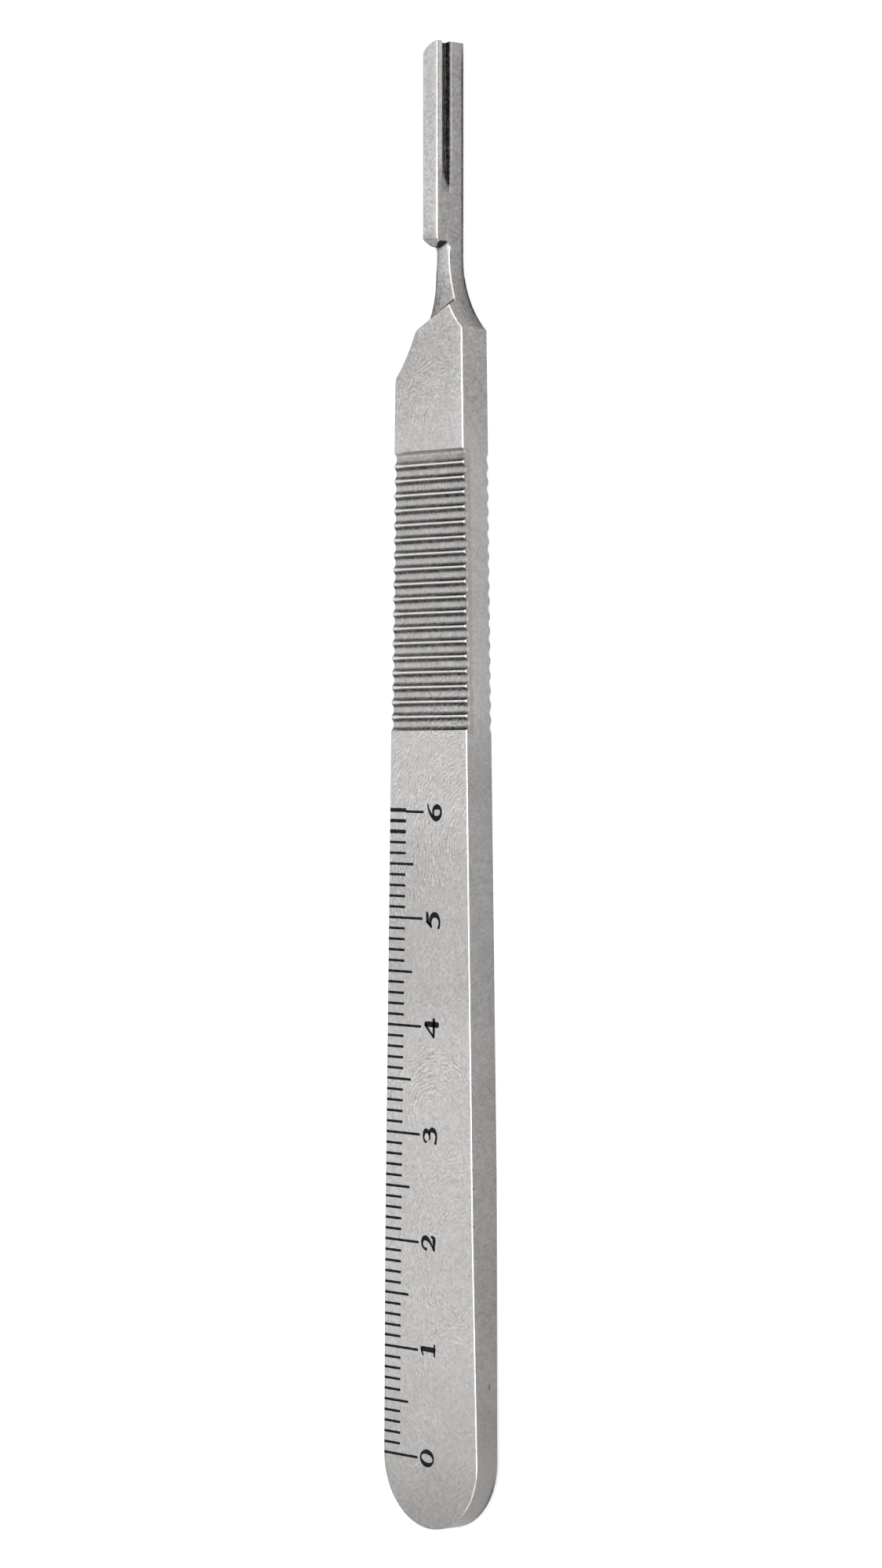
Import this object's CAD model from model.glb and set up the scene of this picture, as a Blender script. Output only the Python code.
import math

import bpy
import numpy as np
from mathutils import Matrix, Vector


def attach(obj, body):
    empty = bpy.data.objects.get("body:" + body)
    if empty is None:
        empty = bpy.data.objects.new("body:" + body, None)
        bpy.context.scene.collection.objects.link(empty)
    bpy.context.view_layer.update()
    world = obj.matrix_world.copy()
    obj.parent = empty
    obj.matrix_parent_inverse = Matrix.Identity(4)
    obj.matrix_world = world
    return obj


# A one-piece satin steel scalpel handle lying face up on a pale floor, with a black scale on its face.
# Metres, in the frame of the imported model: +Y runs along the handle towards the blade end, and +Z out of its
# face. The sizes below are in millimetres, except those of the room and the camera.

MM = 0.001

# The handle's own sizes, as the metal has them.
LENGTH = 137.55
BUTT_RADIUS = 6.45
SIDE_TAPER = math.radians(1.02)
HALF_AT_MIDDLE = (BUTT_RADIUS - (LENGTH / 2 - BUTT_RADIUS) * math.sin(SIDE_TAPER)) / math.cos(SIDE_TAPER)
FACE_LEVEL = 3.1
FACE_DROP = 0.24
FACE_DROP_REACH = 27.0
FRONT_EDGE = 0.15

# The blade end: the nose's middle and right side, the flare's radius and upper end, and the seat's slant.
NOSE_MIDDLE = 0.555
NOSE_SIDE = 1.57
FLARE_RADIUS = 9.4
FLARE_TOP = 49.025
SEAT_ANGLE = math.radians(25)
# The slots' run-out: where it ends, and how fast its dark wedge narrows.
SLOT_END = 55.0
SLOT_TAPER = 0.22

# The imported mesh: how near to each other two corners are one, the angle from which an edge is a crease, and
# the weight of the large flat faces in the shading, where 50 is even.
SAME_CORNER = 0.002
CREASE = math.radians(38)
FLAT_FACE_WEIGHT = 80

# The scale: a mark for each millimetre, square to the left side and measured along it from the butt end.
MARKS = 61
FIRST_MARK = 6.58
LAST_MARK = 66.56
MARK_WIDTH = 0.245
MARK_LENGTHS = {"millimetre": 2.32, "half": 3.42, "centimetre": 4.77}
INK_LIFT = 0.006
# A mark starts on the edge's round, goes on over the face from FACE_START, its width wavering a little, and
# ends in a blunt tip, whose last two widths are shares of the whole.
EDGE_STOPS = [0.02, 0.035, 0.055, 0.08, 0.11, FRONT_EDGE]
FACE_START = 0.4
MARK_TIP = 0.06
TIP_SHARES = (0.86, 0.5)
MARK_WAVER = 0.05
# Marks struck twice: their width as far as a short mark goes. Past FADE_PAST they are back to the usual width
# within FADE_WITHIN, and stand lower by SINGLE_SHIFT.
STRUCK_TWICE = {58: 0.36, 59: 0.33, 60: 0.37}
FADE_PAST = 0.04
FADE_WITHIN = 0.1
SINGLE_SHIFT = 0.12

# Where the middles of the first and last numerals stand, across and along from the butt end.
LAST_DIGIT = 6
FIRST_NUMERAL = (-0.37, 6.54)
LAST_NUMERAL = (0.89, 66.3)
# The ink spreads past the pen by this much, and a stroke's round cap is this share of a half circle high.
INK_SPREAD = 0.12
CAP_SHARE = 0.7
# Where the points of a row stand in the width of a mark or a stroke.
ACROSS_A_STROKE = np.array([-0.5, 0.0, 0.5])

# Pen strokes of the numerals, each point (right, up, width of the pen) from the numeral's middle.
NUMERALS = {
    1: [
        [(0.13, -0.9, 0.4), (0.15, 0.0, 0.37), (0.17, 0.84, 0.34)],
        [(-0.42, 0.66, 0.06), (-0.2, 0.75, 0.11), (0.02, 0.82, 0.18), (0.22, 0.92, 0.1)],
        [(-0.44, -0.91, 0.1), (0.1, -0.91, 0.13), (0.6, -0.91, 0.1)],
    ],
    2: [
        [(-0.54, 0.3, 0.22), (-0.5, 0.55, 0.14), (-0.28, 0.82, 0.13), (0.08, 0.89, 0.18), (0.43, 0.68, 0.33),
         (0.47, 0.28, 0.36), (0.2, -0.14, 0.2), (-0.2, -0.47, 0.1), (-0.58, -0.72, 0.09)],
        [(-0.62, -0.78, 0.1), (-0.3, -0.74, 0.18), (0.1, -0.75, 0.28), (0.45, -0.74, 0.3), (0.58, -0.6, 0.2),
         (0.65, -0.34, 0.07)],
    ],
    3: [
        [(-0.6, 0.56, 0.16), (-0.38, 0.82, 0.1), (0.04, 0.88, 0.16), (0.42, 0.64, 0.34), (0.36, 0.28, 0.26),
         (0.08, 0.08, 0.12), (-0.34, 0.05, 0.08)],
        [(0.02, 0.08, 0.1), (0.4, 0.02, 0.2), (0.58, -0.28, 0.38), (0.4, -0.68, 0.26), (0.0, -0.86, 0.14),
         (-0.42, -0.8, 0.16), (-0.66, -0.73, 0.2)],
    ],
    4: [
        [(0.37, 0.84, 0.34), (0.36, 0.2, 0.42), (0.34, -0.84, 0.42)],
        [(0.3, 0.86, 0.2), (-0.2, 0.38, 0.12), (-0.76, -0.24, 0.13)],
        [(-0.82, -0.31, 0.16), (-0.2, -0.31, 0.2), (0.84, -0.3, 0.23)],
    ],
    5: [
        [(0.74, 0.92, 0.06), (0.56, 0.82, 0.22), (0.3, 0.78, 0.28), (-0.14, 0.78, 0.27)],
        [(-0.16, 0.8, 0.16), (-0.36, 0.5, 0.16), (-0.58, 0.24, 0.14)],
        [(-0.62, 0.24, 0.1), (-0.25, 0.38, 0.2), (0.18, 0.31, 0.28), (0.5, -0.02, 0.4), (0.48, -0.46, 0.36),
         (0.14, -0.8, 0.19), (-0.34, -0.87, 0.14), (-0.66, -0.76, 0.2)],
    ],
    6: [
        [(0.76, 0.94, 0.05), (0.42, 0.86, 0.1), (-0.06, 0.6, 0.17), (-0.44, 0.18, 0.3), (-0.55, -0.26, 0.4),
         (-0.36, -0.7, 0.26), (0.02, -0.88, 0.15), (0.4, -0.75, 0.22), (0.55, -0.34, 0.4), (0.4, 0.06, 0.26),
         (0.04, 0.2, 0.14), (-0.32, 0.08, 0.07)],
    ],
}
# The numeral 0: half the widths and heights of its outer and inner ellipses, and the inner one's lean.
ZERO_OUTER = (0.83, 0.97)
ZERO_INNER = (0.38, 0.77)
ZERO_LEAN = math.radians(-9)

# The steel: its colour, the tone of the sides against the face, and the least that any tone leaves of the
# colour. A surface is a side where its normal's upward part is under SIDE_NORMAL, and face over FACE_NORMAL.
STEEL = (0.542, 0.53, 0.52)
SIDE_TONE = -0.47
SIDE_NORMAL = 0.25
FACE_NORMAL = 0.6
DARKEST = 0.04
# Its roughness, and what the fine mottling and the sides add to it.
STEEL_ROUGHNESS = 0.36
FINE_ROUGHNESS = 0.035
SIDE_ROUGHNESS = 0.05
# Its grain: what each pattern is made of, the sizes of the mottling, and the share of each in the tone.
SWIRL = {"Size": 9.0, "Lines": 26.0, "Fray": 0.12}
FEATHER = {"Size": 4.0, "Lines": 12.0, "Fray": 0.2}
SIZES = {"coarse": 0.75, "fine": 0.28, "cloud": 9.0}
SHARES = {"swirl": 0.09, "feather": 0.06, "coarse": 0.08, "fine": 0.16, "cloud": 0.04}
SCRATCHES = {"Turn": 0.5, "Share": 0.06}
# How the mottling's strength changes: on the sides, and over the handle's length (from, to, start, end) at
# the butt and at the blade end; and how the swirls' strength follows the broadest mottling.
MOTTLING_ON_SIDES = -0.4
MOTTLING_AT_BUTT = (-64, -48, 0.45, 1.0)
MOTTLING_AT_BLADE = (28, 40, 1.0, 1.6)
SWIRL_PATCHES = (-0.4, 0.5, 0.2, 1.0)
# How high its relief stands, and how far the light catches round an edge.
STEEL_RELIEF = 0.004
EASED_EDGE = 0.08

# The ink: its full and its worn colour, its sheen, the sizes of its mottling and the height of its relief.
INK_FULL = (0.004, 0.004, 0.0045, 1)
INK_WORN = (0.03, 0.0295, 0.0285, 1)
INK_SHEEN = 0.12
INK_FINE = 0.16
INK_BROAD = 0.9
INK_RELIEF = 0.006

# Small marks on the steel: middle and half-sizes, turn in degrees, and how dark each is.
BLEMISHES = [
    ((-1.0, 7.15, 3.1), (0.16, 0.14, 0.2), 0, 0.55),
    ((0.2, 24.86, 3.1), (0.09, 0.42, 0.2), 48, -0.5),
    ((4.53, 11.18, 3.1), (0.16, 0.1, 0.2), 0, -0.5),
    ((6.1, -35.19, 3.0), (0.2, 0.1, 0.25), 0, 0.6),
    ((6.1, -36.92, 3.0), (0.2, 0.09, 0.25), 0, 0.6),
    ((6.15, -40.36, 3.0), (0.2, 0.1, 0.25), 0, 0.6),
    ((6.3, -55.14, 1.2), (0.5, 0.42, 0.18), 0, 0.2),
    ((4.6, 42.1, 1.8), (0.5, 0.14, 0.16), 0, -0.3),
]

# Fans of fine arcs on the face: centre and the side they open to, with the pitch, reach and depth of tone.
FANS = [
    ((0.7, -30.5, 3.1), (-0.3, 1.0, 0.0), 0.42, 7.5, 0.21),
    ((2.0, -53.5, 3.1), (-1.0, 0.3, 0.0), 0.46, 5.0, 0.09),
    ((1.8, 34.0, 3.1), (-0.5, 1.0, 0.0), 0.38, 7.5, 0.15),
    ((8.0, -6.0, 3.1), (-0.6, 1.0, 0.0), 0.4, 18.0, 0.2),
    ((5.6, -43.0, 3.1), (-1.0, 0.7, 0.0), 0.42, 12.0, 0.12),
    ((3.6, -46.8, 3.1), (-0.2, -1.0, 0.0), 0.42, 5.5, 0.13),
]

# Bands that many zones share. Of "nz", how far up the surface faces, from level to nearly on edge:
LEVEL = (0.7, None, 0.2)
TILTED = (0.5, None, 0.2)
ROUNDED = (0.3, None, 0.2)
GROOVED = (0.1, None, 0.1)
# of "side", how far it is one of the sides:
SIDE = (0.5, None, 0.3)
# of "off", the nose's bare sides; and the flanks of the grip's grooves, their floors and the nose's slots.
NOSE_WALL = (0.99, 1.2, 0.01)
FLANK = {"steep": (0.36, 0.82, 0.26), "nz": GROOVED}
GROOVE_FLOOR = {"y": (4.8, 31.0, 0.1), "steep": (None, 0.3, 0.2), "z": (2.2, 3.0, 0.08)}
IN_SLOT = {"y": (54.2, None, 1.4), "taper": (None, 1.83, 0.3), "off": (None, 0.99, 0.03)}

# Where the steel is darker or brighter than its body: the bands (low, high, softness) that a zone lies in,
# and its change in tone. None leaves a band open at that end. A band is of the place (x, y, z, inside the
# right edge, off the nose's middle, step along the seat's slant, taper up the slot's wedge) or of the
# surface's normal (ny, nz, steep, side).
ZONES = [
    # the grip's grooves: dark flanks, longer on the side under each ridge, dull floors and bright ridges
    ({"y": (4.8, 29.9, 0.2), **FLANK}, -0.7),
    ({"y": (29.9, 31.3, 0.2), **FLANK}, -0.32),
    ({**GROOVE_FLOOR, "nz": TILTED}, -0.12),
    ({**GROOVE_FLOOR, "inside": (None, 1.6, 1.6)}, -0.1),
    ({"y": (29.9, 31.0, 0.3), "z": (2.2, 3.06, 0.04), "nz": TILTED}, -0.2),
    ({"y": (4.8, 30.3, 0.1), "ny": (-0.8, -0.12, 0.3), "nz": GROOVED}, -0.09),
    ({"y": (5.2, 30.95, 0.1), "z": (3.0, None, 0.08), "nz": GROOVED}, 0.42),
    ({"y": (30.4, 31.3, 0.1), "ny": (None, -0.25, 0.2), "nz": GROOVED}, 0.3),
    # the walls and floors of the nose's slots, which run out in a point, and the lines along their edges
    ({**IN_SLOT, "z": (1.81, 2.82, 0.02), "nz": TILTED}, -0.95),
    ({**IN_SLOT, "z": (1.84, 2.78, 0.02), "side": (0.5, None, 0.2)}, -0.2),
    ({"y": (57, 70, 3.0), "off": NOSE_WALL, "z": (1.57, 1.72, 0.05), "side": SIDE}, 0.42),
    ({"y": (56.4, None, 1.0), "off": NOSE_WALL, "z": (1.75, 1.9, 0.03), "side": SIDE}, -0.5),
    ({"y": (57, 70, 3.0), "off": NOSE_WALL, "z": (2.77, 3.2, 0.03), "side": SIDE}, 0.32),
    ({"y": (54.6, 57.2, 0.8), "off": (None, 0.99, 0.03), "z": (1.84, 2.78, 0.03),
      "side": (0.5, None, 0.2)}, -0.16),
    ({"x": (-1, -0.34, 0.08), "y": (50.5, None, 0.5), "z": (2.8, None, 0.1), "nz": (0.2, None, 0.2)}, -0.22),
    ({"y": (49.8, 51.2, 0.8), "z": (2.3, 3.6, 0.3), "nz": ROUNDED}, -0.14),
    # the wall at the seat's end, the step and the shade at its foot, and the glint at the wall's right foot
    ({"y": (45, 52, 0.5), "ny": (None, -0.8, 0.1), "z": (1.7, 3.0, 0.2)}, -0.7),
    ({"x": (1.0, None, 1.4), "ny": (0.7, None, 0.1), "z": (1.9, 3.2, 0.1), "nz": (0.2, None, 0.1)}, -0.6),
    ({"x": (1.0, 4, 1.4), "step": (43.4, 44.13, 0.06), "z": (1.7, 3.05, 0.05),
      "nz": (0.25, None, 0.1)}, -0.75),
    ({"x": (0.4, 4, 1.6), "step": (44.18, 44.45, 0.12), "z": (1.7, 2.2, 0.1), "nz": TILTED}, 0.12),
    ({"x": (1.25, 1.75, 0.1), "y": (49.5, 49.9, 0.12), "z": (1.7, 2.4, 0.2)}, 0.9),
    # the seat dulls towards its left edge and towards the step, and its right edge shines
    ({"y": (41, 50, 0.3), "x": (-3, 0.1, 1.7), "z": (1.2, 2.7, 0.3), "nz": TILTED}, -0.3),
    ({"y": (43.6, 49.8, 0.5), "inside": (None, 0.5, 0.9), "z": (1.2, 2.6, 0.2), "nz": LEVEL}, 0.12),
    ({"y": (38, 47.3, 2.0), "z": (1.2, 2.8, 0.2), "nz": LEVEL}, -0.27),
    ({"y": (43.6, 49.8, 0.3), "inside": (None, 0.2, 0.08), "z": (1.5, 2.6, 0.1), "nz": TILTED}, 1.1),
    # the fronts of the nose and of the shoulders brighten towards the right, and all of the right edge shines
    ({"y": (50, None, 1.0), "inside": (None, 0.45, 0.8), "nz": LEVEL}, 0.12),
    ({"y": (30, 44, 3.0), "inside": (None, 0.8, 1.6), "nz": LEVEL, "z": (2.9, None, 0.1)}, 0.13),
    ({"y": (33, 44, 3.0), "x": (None, -1, 3.0), "nz": LEVEL}, -0.08),
    ({"y": (20, 70, 30.0), "inside": (None, 0.17, 0.05), "nz": ROUNDED, "z": (2.8, None, 0.2)}, 0.45),
    ({"y": (-66.7, 20, 1.0), "inside": (None, 0.09, 0.05), "nz": ROUNDED, "z": (2.6, None, 0.2)}, 0.4),
    # the face is duller before its middle, near the seat and towards the butt, and lighter before the grip
    ({"y": (-21.5, -5, 3.0), "nz": LEVEL}, -0.1),
    ({"y": (-3, 5.2, 2.0), "nz": LEVEL}, 0.04),
    ({"y": (38, 48, 6.0), "nz": LEVEL, "z": (2.8, 3.2, 0.1)}, -0.12),
    ({"y": (None, -58, 12.0), "nz": LEVEL}, -0.18),
    ({"y": (None, -65, 6.0), "nz": LEVEL}, -0.18),
    # the sides at the blade end, and the dark line along their back edge, which widens down the flares
    ({"y": (37.5, 45, 4.0), "ny": (-1, 0.2, 0.1), "side": SIDE}, 0.07),
    ({"y": (41.96, 42.26, 0.1), "side": SIDE}, 0.08),
    ({"y": (41, 50, 1.0), "ny": (0.3, None, 0.4), "side": SIDE, "z": (None, 1.3, 1.6)}, -0.22),
    ({"y": (43, 68, 3.0), "z": (None, 0.36, 0.3), "side": (0.2, None, 0.3)}, -0.42),
    ({"y": (52, 67.8, 1.5), "nz": (-0.9, 0.3, 0.1), "z": (None, 0.26, 0.14)}, -0.3),
    # the side is lighter at the grip, and darkens towards the butt's round and on its back edge there
    ({"y": (4, 34, 8.0), "side": SIDE}, 0.15),
    ({"y": (-80, -30, 30.0), "side": SIDE}, -0.05),
    ({"y": (-68.2, -64.2, 1.2), "side": (0.3, None, 0.3), "z": (None, 0.6, 0.45)}, -0.4),
]

# The room, in metres: the floor's reach, how far it lies under the handle, its grey and the light that it
# shows to the camera, and the room's glow at the horizon and from the height ROOM_TOP up.
FLOOR_REACH = 3.0
FLOOR_DROP = 0.00002
FLOOR_GREY = (0.5, 0.5, 0.5, 1)
FLOOR_LIFT = 0.5
ROOM_LOW = 0.3
ROOM_HIGH = 0.5
ROOM_TOP = 0.7
# The lamps: name, azimuth round from +X and height in degrees, distance, width, height and glow.
LAMPS = [
    ("key on the left", 180, 44, 1.2, 2.4, 0.9, 0.56),
    ("overhead", 0, 84, 1.2, 0.5, 1.0, 1.9),
    ("right of the camera", 0, 42, 1.3, 1.2, 1.1, 2.4),
    ("beyond the blade end", 75, 38, 1.3, 0.9, 0.7, 2.4),
    ("before the butt", -75, 38, 1.3, 1.2, 0.7, 1.8),
]
# The camera, turned round the handle's length from looking straight down.
CAMERA_PLACE = (0.32563, -0.000695, 0.2947)
CAMERA_TURN = math.radians(48)
LENS = 108.54
SENSOR = 36
LENS_SHIFT = 0.006
CLIP_START = 0.01


def plug(tree, value, socket):
    """Joins an output to an input socket, or gives the socket a number, a triple or a colour."""
    if isinstance(value, bpy.types.NodeSocket):
        tree.links.new(value, socket)
    else:
        socket.default_value = value


def node(tree, kind, at, **settings):
    """Adds a node at a place on the tree's sheet, with its properties and inputs set or joined by name."""
    made = tree.nodes.new(kind)
    made.location = at
    for key, value in settings.items():
        if key in made.inputs:
            plug(tree, value, made.inputs[key])
        else:
            setattr(made, key, value)
    return made


def math_node(tree, at, operation, *values, clamp=False):
    """A Math node on up to three sockets or numbers, and its result."""
    made = node(tree, "ShaderNodeMath", at, operation=operation, use_clamp=clamp)
    for value, socket in zip(values, made.inputs):
        plug(tree, value, socket)
    return made.outputs[0]


def vector_node(tree, at, operation, *values):
    """A Vector Math node on sockets or triples, and its result: a number for a length or a dot product."""
    made = node(tree, "ShaderNodeVectorMath", at, operation=operation)
    for value, socket in zip(values, made.inputs):
        plug(tree, value, socket)
    return made.outputs["Value" if operation in ("LENGTH", "DOT_PRODUCT") else "Vector"]


def ramp(tree, at, value, low, high, start=0.0, end=1.0):
    """Turns a value that runs from low to high into one that runs smoothly from start to end."""
    limits = {"From Min": low, "From Max": high, "To Min": start, "To Max": end}
    made = node(tree, "ShaderNodeMapRange", at, interpolation_type="SMOOTHSTEP", Value=value, **limits)
    return made.outputs[0]


def noise(tree, at, vector, scale, detail=2.0, roughness=0.5):
    """Noise round 0.5, as fine as 1 over scale."""
    made = node(tree, "ShaderNodeTexNoise", at, Vector=vector, Scale=scale, Detail=detail,
                Roughness=roughness)
    return made.outputs["Fac"]


def new_group(name, **inputs):
    """A shader node group that puts out one number: its tree, its inputs and the socket for its result."""
    tree = bpy.data.node_groups.new(name, "ShaderNodeTree")
    for title, value in inputs.items():
        kind = "NodeSocketFloat" if isinstance(value, float) else "NodeSocketVector"
        tree.interface.new_socket(title, in_out="INPUT", socket_type=kind).default_value = value
    tree.interface.new_socket("Value", in_out="OUTPUT", socket_type="NodeSocketFloat")
    into = node(tree, "NodeGroupInput", (-1400, 0)).outputs
    return tree, into, node(tree, "NodeGroupOutput", (600, 0)).inputs["Value"]


def use_group(tree, group, at, **inputs):
    """Places a node group with its inputs joined or set by name, and gives its result."""
    return node(tree, "ShaderNodeGroup", at, node_tree=group, **inputs).outputs["Value"]


def group_swirls():
    """Feathered swirls of fine lines, from -1 to 1: the contours of slow noise over Size, frayed a little."""
    tree, into, result = new_group("swirls", Vector=(0, 0, 0), Size=8.0, Lines=20.0, Fray=0.02)
    scale = math_node(tree, (-1200, -200), "DIVIDE", 1.0, into["Size"])
    slow = noise(tree, (-1000, 0), into["Vector"], scale, detail=0.0)
    rough = noise(tree, (-1000, -300), into["Vector"], 1.6, detail=3.0, roughness=0.6)
    level = math_node(tree, (-700, 0), "MULTIPLY_ADD", rough, into["Fray"], slow)
    turns = math_node(tree, (-500, 0), "MULTIPLY", level, into["Lines"])
    wave = math_node(tree, (-100, 0), "SINE", math_node(tree, (-300, 0), "MULTIPLY", turns, 2 * math.pi))
    breaks = ramp(tree, (-400, -400), noise(tree, (-700, -400), into["Vector"], 0.9), 0.35, 0.6, 0.25, 1.0)
    plug(tree, math_node(tree, (200, 0), "MULTIPLY", wave, breaks), result)
    return tree


def group_arcs():
    """A fan of fine arcs round Centre, a Pitch apart and out to Reach, on the side that Side points to."""
    tree, into, result = new_group(
        "arcs", Vector=(0, 0, 0), Centre=(0, 0, 0), Side=(0, 1, 0), Pitch=0.42, Reach=6.0)
    away = vector_node(tree, (-1200, 0), "SUBTRACT", into["Vector"], into["Centre"])
    wobble = noise(tree, (-1200, -300), into["Vector"], 0.9, detail=4.0, roughness=0.65)
    distance = vector_node(tree, (-1000, 0), "LENGTH", away)
    bent = math_node(tree, (-800, 0), "MULTIPLY_ADD", wobble, 1.5, distance)
    turns = math_node(tree, (-600, 0), "DIVIDE", bent, into["Pitch"])
    wave = math_node(tree, (-200, 0), "SINE", math_node(tree, (-400, 0), "MULTIPLY", turns, 2 * math.pi))
    share = math_node(tree, (-800, -300), "DIVIDE", distance, into["Reach"])
    towards = vector_node(tree, (-800, -700), "DOT_PRODUCT", away, into["Side"])
    within = ramp(tree, (-600, -300), share, 0.75, 1.0, 1.0, 0.0)
    past_middle = ramp(tree, (-600, -500), share, 0.12, 0.3)
    ahead = ramp(tree, (-600, -700), towards, -1.0, 1.5)
    patches = ramp(tree, (-600, -900), noise(tree, (-800, -900), into["Vector"], 1.1), 0.4, 0.56)
    for column, mask in enumerate((within, past_middle, patches, ahead)):
        wave = math_node(tree, (100 * column, 0), "MULTIPLY", wave, mask)
    plug(tree, wave, result)
    return tree


def group_speckle():
    """Mottling of one size, around 0 from -1 to 1."""
    tree, into, result = new_group("speckle", Vector=(0, 0, 0), Size=0.3)
    scale = math_node(tree, (-600, -200), "DIVIDE", 1.0, into["Size"])
    grain = noise(tree, (-300, 0), into["Vector"], scale, roughness=0.6)
    plug(tree, math_node(tree, (0, 0), "MULTIPLY_ADD", grain, 4.0, -2.0), result)
    return tree


def group_scratches():
    """Sparse hairline scratches: the crests of long, thin noise, as a mask."""
    tree, into, result = new_group("hairline scratches", Vector=(0, 0, 0), Turn=0.0, Share=0.1)
    turned = node(tree, "ShaderNodeVectorRotate", (-1000, 0), rotation_type="Z_AXIS", Vector=into["Vector"],
                  Angle=into["Turn"])
    drawn = vector_node(tree, (-800, 0), "MULTIPLY", turned.outputs[0], (9.0, 0.35, 9.0))
    lines = noise(tree, (-600, 0), drawn, 1.0, detail=1.0)
    limit = math_node(tree, (-400, -200), "SUBTRACT", 0.78, into["Share"])
    above = math_node(tree, (-200, 0), "SUBTRACT", lines, limit)
    plug(tree, math_node(tree, (0, 0), "MULTIPLY", above, 14.0, clamp=True), result)
    return tree


def group_mark():
    """One small mark: 1 within an ellipsoid round Centre with half-sizes Reach, fading to 0 at its edge."""
    tree, into, result = new_group(
        "small mark", Vector=(0, 0, 0), Centre=(0, 0, 0), Reach=(1, 1, 1), Turn=0.0)
    away = vector_node(tree, (-1000, 0), "SUBTRACT", into["Vector"], into["Centre"])
    turned = node(tree, "ShaderNodeVectorRotate", (-800, 0), rotation_type="Z_AXIS", Vector=away,
                  Angle=into["Turn"])
    scaled = vector_node(tree, (-600, 0), "DIVIDE", turned.outputs[0], into["Reach"])
    distance = vector_node(tree, (-400, 0), "LENGTH", scaled)
    plug(tree, ramp(tree, (-200, 0), distance, 0.5, 1.0, 1.0, 0.0), result)
    return tree


def soften_metal(piece):
    """Joins the node's loose triangles and shades it smoothly, with a crease where two faces meet steeply."""
    tree = bpy.data.node_groups.new("join_and_smooth", "GeometryNodeTree")
    tree.interface.new_socket("Geometry", in_out="INPUT", socket_type="NodeSocketGeometry")
    tree.interface.new_socket("Geometry", in_out="OUTPUT", socket_type="NodeSocketGeometry")
    entry = node(tree, "NodeGroupInput", (0, 0))
    merge = node(tree, "GeometryNodeMergeByDistance", (200, 0), Geometry=entry.outputs[0],
                 Distance=SAME_CORNER * MM)
    angle = node(tree, "GeometryNodeInputMeshEdgeAngle", (200, -200)).outputs["Unsigned Angle"]
    shallow = node(tree, "FunctionNodeCompare", (400, -200), data_type="FLOAT", operation="LESS_THAN",
                   A=angle, B=CREASE)
    faces = node(tree, "GeometryNodeSetShadeSmooth", (400, 0), domain="FACE", Geometry=merge.outputs[0])
    edges = node(tree, "GeometryNodeSetShadeSmooth", (600, 0), domain="EDGE", Geometry=faces.outputs[0])
    plug(tree, shallow.outputs[0], edges.inputs["Shade Smooth"])
    plug(tree, edges.outputs[0], node(tree, "NodeGroupOutput", (800, 0)).inputs[0])
    modifier = piece.modifiers.new("join and smooth", "NODES")
    modifier.node_group = tree
    weighted = piece.modifiers.new("flat faces keep their shade", "WEIGHTED_NORMAL")
    weighted.keep_sharp = True
    weighted.weight = FLAT_FACE_WEIGHT


def new_finish(name, at):
    """A new material, its tree, and the inputs of its shader, which stands at a place on the sheet."""
    finish = bpy.data.materials.new(name)
    finish.use_nodes = True
    shader = finish.node_tree.nodes["Principled BSDF"]
    shader.location = at
    return finish, finish.node_tree, shader.inputs


def millimetres(tree, at):
    """The surface's own coordinates in millimetres, and its own normal."""
    place = node(tree, "ShaderNodeTexCoord", at).outputs
    scaled = node(tree, "ShaderNodeMapping", (at[0] + 200, at[1]), Vector=place["Object"], Scale=[1 / MM] * 3)
    return scaled.outputs[0], place["Normal"]


def inside_right_edge(tree, at, across, along):
    """The distance inwards from the right side of the outline.

    Down from FLARE_TOP the flare stands NOSE_SIDE + R - sqrt(R*R - d*d) off the axis at a distance d. It is
    no further out than the tapered straight side, or than the butt's circle.
    """
    left, high = at
    down = math_node(tree, (left, high), "SUBTRACT", FLARE_TOP, along)
    down = math_node(tree, (left + 150, high), "MAXIMUM", down, 0.0)
    down = math_node(tree, (left + 300, high), "MINIMUM", down, FLARE_RADIUS)
    square = math_node(tree, (left + 450, high), "MULTIPLY", down, down)
    rest = math_node(tree, (left + 600, high), "SUBTRACT", FLARE_RADIUS ** 2, square)
    root = math_node(tree, (left + 750, high), "SQRT", rest)
    flare = math_node(tree, (left + 900, high), "SUBTRACT", NOSE_SIDE + FLARE_RADIUS, root)
    straight = math_node(tree, (left + 450, high - 200), "MULTIPLY_ADD", along, -math.tan(SIDE_TAPER),
                         HALF_AT_MIDDLE)
    edge = math_node(tree, (left + 1050, high), "MINIMUM", flare, straight)
    past = math_node(tree, (left, high - 400), "SUBTRACT", BUTT_RADIUS - LENGTH / 2, along)
    past = math_node(tree, (left + 150, high - 400), "MAXIMUM", past, 0.0)
    square = math_node(tree, (left + 300, high - 400), "MULTIPLY", past, past)
    rest = math_node(tree, (left + 450, high - 400), "SUBTRACT", BUTT_RADIUS ** 2, square)
    rest = math_node(tree, (left + 600, high - 400), "MAXIMUM", rest, 0.0)
    circle = math_node(tree, (left + 750, high - 400), "SQRT", rest)
    edge = math_node(tree, (left + 1050, high - 200), "MINIMUM", edge, circle)
    return math_node(tree, (left + 1200, high), "SUBTRACT", edge, across)


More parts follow.
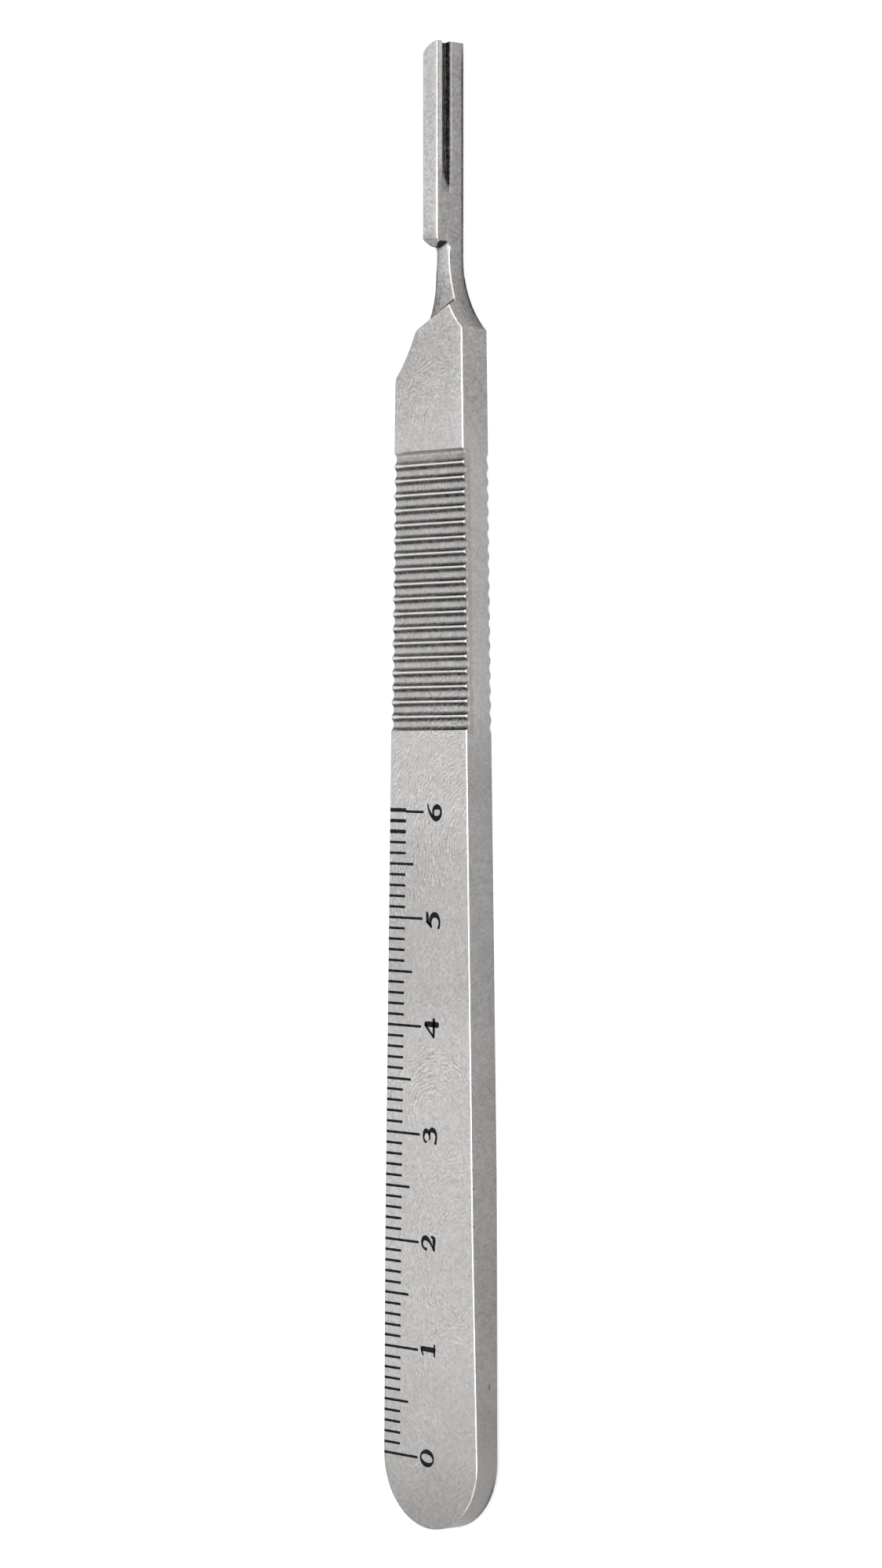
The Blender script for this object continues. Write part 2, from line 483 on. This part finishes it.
def steel_measures(tree, place, normal):
    """What the zones are bounded by, by name: places in millimetres, and the way that the surface faces."""
    facing = node(tree, "ShaderNodeSeparateXYZ", (-1800, -300), Vector=normal).outputs
    x, y, z = node(tree, "ShaderNodeSeparateXYZ", (-1800, -500), Vector=place).outputs
    upright = math_node(tree, (-1600, -300), "ABSOLUTE", facing["Z"])
    aside = math_node(tree, (-1600, -700), "SUBTRACT", x, NOSE_MIDDLE)
    raised = math_node(tree, (-1600, -1100), "ADD", z, SLOT_TAPER * SLOT_END)
    return {
        "x": x, "y": y, "z": z, "ny": facing["Y"], "nz": facing["Z"],
        "side": ramp(tree, (-1400, -300), upright, SIDE_NORMAL, FACE_NORMAL, 1.0, 0.0),
        "steep": math_node(tree, (-1600, -900), "ABSOLUTE", facing["Y"]),
        "off": math_node(tree, (-1400, -700), "ABSOLUTE", aside),
        "inside": inside_right_edge(tree, (-1600, -1200), x, y),
        "step": math_node(tree, (-1400, -900), "MULTIPLY_ADD", aside, -math.tan(SEAT_ANGLE), y),
        "taper": math_node(tree, (-1400, -1100), "MULTIPLY_ADD", y, -SLOT_TAPER, raised),
    }


def steel_grain(tree, place, side, open_face, along, swirls, speckle):
    """The steel's tone round 0, from its swirls and mottling, and the two patterns that its relief follows.

    The mottling is weaker on the sides and at the butt, and stronger at the blade end. The swirls keep to the
    face and come and go with the broadest mottling.
    """
    swirl = use_group(tree, swirls, (-1400, 600), Vector=place, **SWIRL)
    feather = use_group(tree, swirls, (-1400, 400), Vector=place, **FEATHER)
    coarse, fine, cloud = (use_group(tree, speckle, (-1400, 200 * row), Vector=place, Size=SIZES[name])
                           for row, name in enumerate(("coarse", "fine", "cloud")))
    patch = ramp(tree, (-1200, 800), cloud, *SWIRL_PATCHES)
    brushed = math_node(tree, (-1000, 600), "MULTIPLY", swirl, patch)
    brushed = math_node(tree, (-900, 600), "MULTIPLY", brushed, open_face)
    feather = math_node(tree, (-1000, 400), "MULTIPLY", feather, open_face)
    strength = math_node(tree, (-1000, -100), "MULTIPLY_ADD", side, MOTTLING_ON_SIDES, 1.0)
    at_butt = ramp(tree, (-1400, -200), along, *MOTTLING_AT_BUTT)
    at_blade = ramp(tree, (-1400, -250), along, *MOTTLING_AT_BLADE)
    worked = math_node(tree, (-1200, -200), "MULTIPLY", at_butt, at_blade)
    strength = math_node(tree, (-1000, -200), "MULTIPLY", strength, worked)
    coarse = math_node(tree, (-1000, 200), "MULTIPLY", coarse, strength)
    fine = math_node(tree, (-1000, 0), "MULTIPLY", fine, strength)
    tone = math_node(tree, (-800, 600), "MULTIPLY", brushed, SHARES["swirl"])
    patterns = {"feather": feather, "coarse": coarse, "fine": fine, "cloud": cloud}
    for row, (name, pattern) in enumerate(patterns.items()):
        tone = math_node(tree, (-800, 400 - 200 * row), "MULTIPLY_ADD", pattern, SHARES[name], tone)
    return tone, swirl, fine


def zone_change(tree, high, measures, bands, change):
    """A zone's change in tone, as a socket: each end of a band fades from 1 to 0 over its softness."""
    left = 200
    for name, (lowest, highest, soft) in bands.items():
        for limit, slope in ((lowest, 1 / soft), (highest, -1 / soft)):
            if limit is None:
                continue
            end = math_node(tree, (left, high), "MULTIPLY_ADD", measures[name], slope, 0.5 - limit * slope,
                            clamp=True)
            change = math_node(tree, (left, high - 80), "MULTIPLY", end, change)
            left += 100
    return change


def satin_steel(swirls, arcs, speckle, scratches, mark):
    """The handle's metal, from its node groups: grain, fans of arcs, zones and small marks in one tone."""
    steel, tree, shader = new_finish("satin steel", (2600, 0))
    shader["Metallic"].default_value = 1.0
    place, normal = millimetres(tree, (-2200, 0))
    measures = steel_measures(tree, place, normal)
    side = measures["side"]
    open_face = math_node(tree, (-1200, -100), "SUBTRACT", 1.0, side)
    tone, swirl, fine = steel_grain(tree, place, side, open_face, measures["y"], swirls, speckle)
    for row, (centre, opens_to, pitch, reach, depth) in enumerate(FANS):
        high = 1000 + 200 * row
        fan = use_group(tree, arcs, (-1000, high), Vector=place, Centre=centre, Side=opens_to, Pitch=pitch,
                        Reach=reach)
        fan = math_node(tree, (-800, high), "MULTIPLY", fan, open_face)
        tone = math_node(tree, (-600, high), "MULTIPLY_ADD", fan, depth, tone)
    tone = math_node(tree, (-200, 0), "MULTIPLY_ADD", side, SIDE_TONE, tone)
    for row, (bands, change) in enumerate(ZONES):
        high = -1400 - 200 * row
        tone = math_node(tree, (1400, high), "ADD", tone, zone_change(tree, high, measures, bands, change))
    for row, (centre, reach, turn, depth) in enumerate(BLEMISHES):
        high = -600 - 200 * row
        mask = use_group(tree, mark, (-400, high), Vector=place, Centre=centre, Reach=reach,
                         Turn=math.radians(turn))
        tone = math_node(tree, (0, high), "MULTIPLY_ADD", mask, -depth, tone)
    factor = math_node(tree, (1600, 0), "ADD", tone, 1.0)
    factor = math_node(tree, (1750, 0), "MAXIMUM", factor, DARKEST)
    colour = node(tree, "ShaderNodeVectorMath", (1900, 0), operation="SCALE", Scale=factor)
    colour.inputs[0].default_value = STEEL
    plug(tree, colour.outputs[0], shader["Base Color"])

    rough = math_node(tree, (1600, -300), "MULTIPLY_ADD", fine, FINE_ROUGHNESS, STEEL_ROUGHNESS)
    rough = math_node(tree, (1800, -300), "MULTIPLY_ADD", side, SIDE_ROUGHNESS, rough)
    plug(tree, rough, shader["Roughness"])

    scratched = use_group(tree, scratches, (1400, -700), Vector=place, **SCRATCHES)
    height = math_node(tree, (1600, -700), "MULTIPLY", swirl, 0.5)
    height = math_node(tree, (1750, -700), "MULTIPLY_ADD", fine, 0.5, height)
    height = math_node(tree, (1900, -700), "SUBTRACT", height, scratched)
    eased = node(tree, "ShaderNodeBevel", (1900, -900), samples=6, Radius=EASED_EDGE * MM)
    bump = node(tree, "ShaderNodeBump", (2200, -700), Strength=0.5, Distance=STEEL_RELIEF * MM, Height=height,
                Normal=eased.outputs[0])
    plug(tree, bump.outputs[0], shader["Normal"])
    return steel


def scale_ink(speckle):
    """The black of the scale, a little worn and dull, from the mottling's node group."""
    ink, tree, shader = new_finish("scale ink", (600, 0))
    shader["Specular IOR Level"].default_value = INK_SHEEN
    place, _ = millimetres(tree, (-1200, 0))
    fine = use_group(tree, speckle, (-800, 0), Vector=place, Size=INK_FINE)
    broad = use_group(tree, speckle, (-800, -200), Vector=place, Size=INK_BROAD)
    both = math_node(tree, (-600, 0), "MULTIPLY_ADD", broad, 0.6, fine)
    wear = ramp(tree, (-400, 0), both, 0.2, 1.6)
    mix = node(tree, "ShaderNodeMix", (-100, 0), data_type="RGBA", Factor=wear)
    full, worn, mixed = mix.inputs[6], mix.inputs[7], mix.outputs[2]
    full.default_value = INK_FULL
    worn.default_value = INK_WORN
    plug(tree, mixed, shader["Base Color"])
    plug(tree, ramp(tree, (-100, -300), fine, -1.0, 1.0, 0.5, 0.68), shader["Roughness"])
    bump = node(tree, "ShaderNodeBump", (300, -400), Strength=0.4, Distance=INK_RELIEF * MM, Height=fine)
    plug(tree, bump.outputs[0], shader["Normal"])
    return ink


def half_width(along):
    """Half the handle's width at a distance d from the butt's end.

    With the butt's radius r it is sqrt(r*r - (r-d)*(r-d)) on the butt's circle. From where the straight side
    touches the circle it is (r - (d-r)*sin(taper)) / cos(taper).
    """
    on_circle = np.sqrt(np.maximum(BUTT_RADIUS ** 2 - (BUTT_RADIUS - along) ** 2, 0))
    on_side = (BUTT_RADIUS - (along - BUTT_RADIUS) * math.sin(SIDE_TAPER)) / math.cos(SIDE_TAPER)
    return np.where(along < BUTT_RADIUS * (1 + math.sin(SIDE_TAPER)), on_circle, on_side)


def on_face(across, along):
    """Points on the face, in metres: its level, its slight drop towards the butt and the round of its edge.

    The level is FACE_LEVEL, less FACE_DROP times the share of FACE_DROP_REACH still to go to the butt. At a
    distance d in from the edge, less than the round's radius r, it is lower by r - sqrt(r*r - (r-d)*(r-d)).
    """
    to_go = np.clip(FACE_DROP_REACH - along, 0, None) / FACE_DROP_REACH
    inward = np.clip(half_width(along) - np.abs(across), 0, FRONT_EDGE)
    lower = FRONT_EDGE - np.sqrt(np.maximum(FRONT_EDGE ** 2 - (FRONT_EDGE - inward) ** 2, 0))
    level = FACE_LEVEL - FACE_DROP * to_go - lower + INK_LIFT
    return np.stack([across, along - LENGTH / 2, level], axis=-1) * MM


def grid_faces(rows, columns, first):
    """The quads of a grid of points numbered row by row from first."""
    corner = first + np.arange(rows - 1)[:, None] * columns + np.arange(columns - 1)[None, :]
    quads = np.stack([corner, corner + 1, corner + columns + 1, corner + columns], axis=-1)
    return quads.reshape(-1, 4)


def flat_piece(name, sheets, finish):
    """One mesh from several grids of points, each an array of rows by columns by 3, facing up."""
    points, quads, first = [], [], 0
    for sheet in sheets:
        rows, columns = sheet.shape[:2]
        faces = grid_faces(rows, columns, first)
        corners = sheet.reshape(-1, 3)[faces - first]
        facing = np.cross(corners[:, 1] - corners[:, 0], corners[:, 3] - corners[:, 0])[:, 2].sum()
        quads.append(faces if facing > 0 else faces[:, ::-1])
        points.append(sheet.reshape(-1, 3))
        first += rows * columns
    mesh = bpy.data.meshes.new(name)
    mesh.from_pydata(np.concatenate(points).tolist(), [], np.concatenate(quads).tolist())
    mesh.polygons.foreach_set("use_smooth", np.ones(len(mesh.polygons), dtype=bool))
    mesh.materials.append(finish)
    piece = bpy.data.objects.new(name, mesh)
    bpy.context.scene.collection.objects.link(piece)
    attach(piece, "root")


def one_mark(index):
    """One mark: it starts on the edge's round, runs square to the side and ends in a blunt rounded tip.

    The marks stand evenly from FIRST_MARK to LAST_MARK. At a distance s along it a mark is MARK_WIDTH wide,
    times 1 plus MARK_WAVER times a sine of s. One struck twice is wider for the length of a short mark.
    """
    start = FIRST_MARK + (LAST_MARK - FIRST_MARK) * index / (MARKS - 1)
    kind = "centimetre" if index % 10 == 0 else "half" if index % 5 == 0 else "millimetre"
    length = MARK_LENGTHS[kind]
    short = MARK_LENGTHS["millimetre"]
    stops = [short - MARK_TIP, short, short + FADE_PAST] if length > short else []
    run = np.concatenate([EDGE_STOPS, np.linspace(FACE_START, length - MARK_TIP, 14),
                          [length - MARK_TIP / 3, length], stops])
    run.sort()
    width = np.full_like(run, MARK_WIDTH)
    middle = np.zeros_like(run)
    if index in STRUCK_TWICE:
        share = np.clip((short + FADE_PAST - run) / FADE_WITHIN, 0, 1) if stops else np.ones_like(run)
        width += (STRUCK_TWICE[index] - MARK_WIDTH) * share
        middle -= SINGLE_SHIFT * (1 - share)
    width *= 1 + MARK_WAVER * np.sin(run * 5.1 + index * 1.7)
    width[-2:] *= TIP_SHARES
    y = start + middle[:, None] + width[:, None] * ACROSS_A_STROKE
    edge = half_width(np.full_like(run, start))[:, None]
    x = -edge + run[:, None] * math.cos(SIDE_TAPER) + 0 * y
    return on_face(x, y - run[:, None] * math.sin(SIDE_TAPER))


def pen_stroke(points, steps=9):
    """A pen stroke through (right, up, width) points, as a smooth curve with the width carried along it.

    Between two points it is the cubic that passes through both, with the slope at each being half the step
    from the point before it to the point after it, in the place and the width alike. Each end gets a round
    cap: past the end by CAP_SHARE*w/2*sin(t), with the width w*cos(t).
    """
    given = np.array(points, dtype=float) + (0, 0, INK_SPREAD)
    ends = np.concatenate([[2 * given[0] - given[1]], given, [2 * given[-1] - given[-2]]])
    t = np.linspace(0, 1, steps, endpoint=False)[None, :, None]
    a, b, c, d = (ends[k:len(ends) - 3 + k, None, :] for k in range(4))
    bend, twist = 2 * a - 5 * b + 4 * c - d, 3 * b - a - 3 * c + d
    curve = 0.5 * (2 * b + (c - a) * t + bend * t ** 2 + twist * t ** 3)
    curve = np.concatenate([curve.reshape(-1, 3), given[-1:]])
    way = np.gradient(curve[:, :2], axis=0)
    way /= np.linalg.norm(way, axis=1)[:, None]
    turn = np.linspace(0, math.pi / 2, 5)[1:]
    for end, sign in ((0, -1), (-1, 1)):
        base, direction = curve[end], way[end]
        cap = np.empty((len(turn), 3))
        cap[:, :2] = base[:2] + sign * direction * (base[2] / 2 * np.sin(turn))[:, None] * CAP_SHARE
        cap[:, 2] = base[2] * np.maximum(np.cos(turn), 0.02)
        more = np.repeat(direction[None], len(turn), axis=0)
        if sign < 0:
            curve, way = np.concatenate([cap[::-1], curve]), np.concatenate([more, way])
        else:
            curve, way = np.concatenate([curve, cap]), np.concatenate([way, more])
    beside = np.stack([-way[:, 1], way[:, 0]], axis=1)[:, None, :]
    return curve[:, None, :2] + beside * curve[:, None, 2:] * ACROSS_A_STROKE[None, :, None]


def zero_ring():
    """The numeral 0: the band between an upright outer ellipse and a leaning, narrower inner one.

    Each ellipse is (a*cos(t), b*sin(t)) with its own half width a and half height b, and the inner one is
    turned by ZERO_LEAN.
    """
    angle = np.linspace(0, 2 * math.pi, 49)
    outer, inner = (np.stack([width * np.cos(angle), height * np.sin(angle)], axis=1)
                    for width, height in (ZERO_OUTER, ZERO_INNER))
    cosine, sine = math.cos(ZERO_LEAN), math.sin(ZERO_LEAN)
    inner = inner @ np.array([[cosine, sine], [-sine, cosine]])
    return np.stack([inner, (inner + outer) / 2, outer], axis=1)


def numeral_sheets(digit):
    """A numeral laid on the face: its right is +Y and its top is towards the left side, square to that side.

    Its middle stands as far between FIRST_NUMERAL and LAST_NUMERAL as the digit between 0 and LAST_DIGIT.
    """
    across, along = (first + (last - first) * (digit / LAST_DIGIT)
                     for first, last in zip(FIRST_NUMERAL, LAST_NUMERAL))
    drawn = [zero_ring()] if digit == 0 else [pen_stroke(stroke) for stroke in NUMERALS[digit]]
    cosine, sine = math.cos(SIDE_TAPER), math.sin(SIDE_TAPER)
    for sheet in drawn:
        right, up = sheet[..., 0], sheet[..., 1]
        yield on_face(across - up * cosine + right * sine, along + right * cosine + up * sine)


def make_floor():
    """The pale floor: it glows a little for the camera and for reflections, and its grey takes the shadow."""
    mesh = bpy.data.meshes.new("floor")
    corners = [(x * FLOOR_REACH, y * FLOOR_REACH, 0) for x, y in ((-1, -1), (1, -1), (1, 1), (-1, 1))]
    mesh.from_pydata(corners, [], [(0, 1, 2, 3)])
    floor = bpy.data.objects.new("floor", mesh)
    bpy.context.scene.collection.objects.link(floor)
    floor.location.z = -FLOOR_DROP
    paint = bpy.data.materials.new("pale floor")
    paint.use_nodes = True
    tree = paint.node_tree
    tree.nodes.clear()
    ray = node(tree, "ShaderNodeLightPath", (-600, 200)).outputs
    seen = math_node(tree, (-400, 200), "MAXIMUM", ray["Is Camera Ray"], ray["Is Glossy Ray"])
    seen = math_node(tree, (-200, 200), "MAXIMUM", seen, ray["Is Transmission Ray"])
    lift = math_node(tree, (0, 200), "MULTIPLY", seen, FLOOR_LIFT)
    glow = node(tree, "ShaderNodeEmission", (200, 200), Strength=lift)
    matt = node(tree, "ShaderNodeBsdfDiffuse", (200, 0), Color=FLOOR_GREY)
    both = node(tree, "ShaderNodeAddShader", (400, 100))
    plug(tree, glow.outputs[0], both.inputs[0])
    plug(tree, matt.outputs[0], both.inputs[1])
    node(tree, "ShaderNodeOutputMaterial", (600, 100), Surface=both.outputs[0])
    mesh.materials.append(paint)


def softbox(name, azimuth, elevation, distance, width, height, glow):
    """A rectangular lamp of an even glow that looks at the handle's middle."""
    lamp = bpy.data.lights.new(name, "AREA")
    lamp.shape = "RECTANGLE"
    lamp.size = width
    lamp.size_y = height
    lamp.energy = glow * math.pi * width * height
    holder = bpy.data.objects.new(name, lamp)
    round_z, up = math.radians(azimuth), math.radians(elevation)
    away = Vector((math.cos(round_z) * math.cos(up), math.sin(round_z) * math.cos(up), math.sin(up)))
    holder.location = away * distance
    holder.rotation_euler = away.to_track_quat("Z", "Y").to_euler()
    bpy.context.scene.collection.objects.link(holder)


def make_room():
    """A pale room, dim near the horizon and brighter above."""
    world = bpy.data.worlds.new("room")
    bpy.context.scene.world = world
    world.use_nodes = True
    tree = world.node_tree
    backdrop = tree.nodes["Background"].inputs
    place = node(tree, "ShaderNodeTexCoord", (-800, 0)).outputs["Generated"]
    upward = node(tree, "ShaderNodeSeparateXYZ", (-600, 0), Vector=place).outputs["Z"]
    plug(tree, ramp(tree, (-400, 0), upward, 0.0, ROOM_TOP, ROOM_LOW, ROOM_HIGH), backdrop["Strength"])
    plug(tree, (1, 1, 1, 1), backdrop["Color"])


def place_camera():
    """The photograph's viewpoint."""
    lens = bpy.data.cameras.new("camera")
    lens.sensor_width = SENSOR
    lens.lens = LENS
    lens.shift_y = LENS_SHIFT
    lens.clip_start = CLIP_START
    camera = bpy.data.objects.new("camera", lens)
    camera.location = CAMERA_PLACE
    camera.rotation_euler = (0, CAMERA_TURN, 0)
    bpy.context.scene.collection.objects.link(camera)
    bpy.context.scene.camera = camera


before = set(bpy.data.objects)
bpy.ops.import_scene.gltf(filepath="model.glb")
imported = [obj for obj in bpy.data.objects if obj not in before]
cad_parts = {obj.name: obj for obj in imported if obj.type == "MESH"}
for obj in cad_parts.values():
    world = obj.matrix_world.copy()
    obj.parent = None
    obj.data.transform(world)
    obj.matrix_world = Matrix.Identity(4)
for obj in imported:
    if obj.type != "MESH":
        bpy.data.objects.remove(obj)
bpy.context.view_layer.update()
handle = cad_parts["handle"]

soften_metal(handle)
mottling = group_speckle()
metal = satin_steel(group_swirls(), group_arcs(), mottling, group_scratches(), group_mark())
handle.data.materials.clear()
handle.data.materials.append(metal)

ink_finish = scale_ink(mottling)
flat_piece("scale_marks", [one_mark(index) for index in range(MARKS)], ink_finish)
numerals = [sheet for digit in range(LAST_DIGIT + 1) for sheet in numeral_sheets(digit)]
flat_piece("scale_numerals", numerals, ink_finish)

make_floor()
make_room()
for lamp_settings in LAMPS:
    softbox(*lamp_settings)
place_camera()

scene = bpy.context.scene
scene.view_settings.view_transform = "Standard"
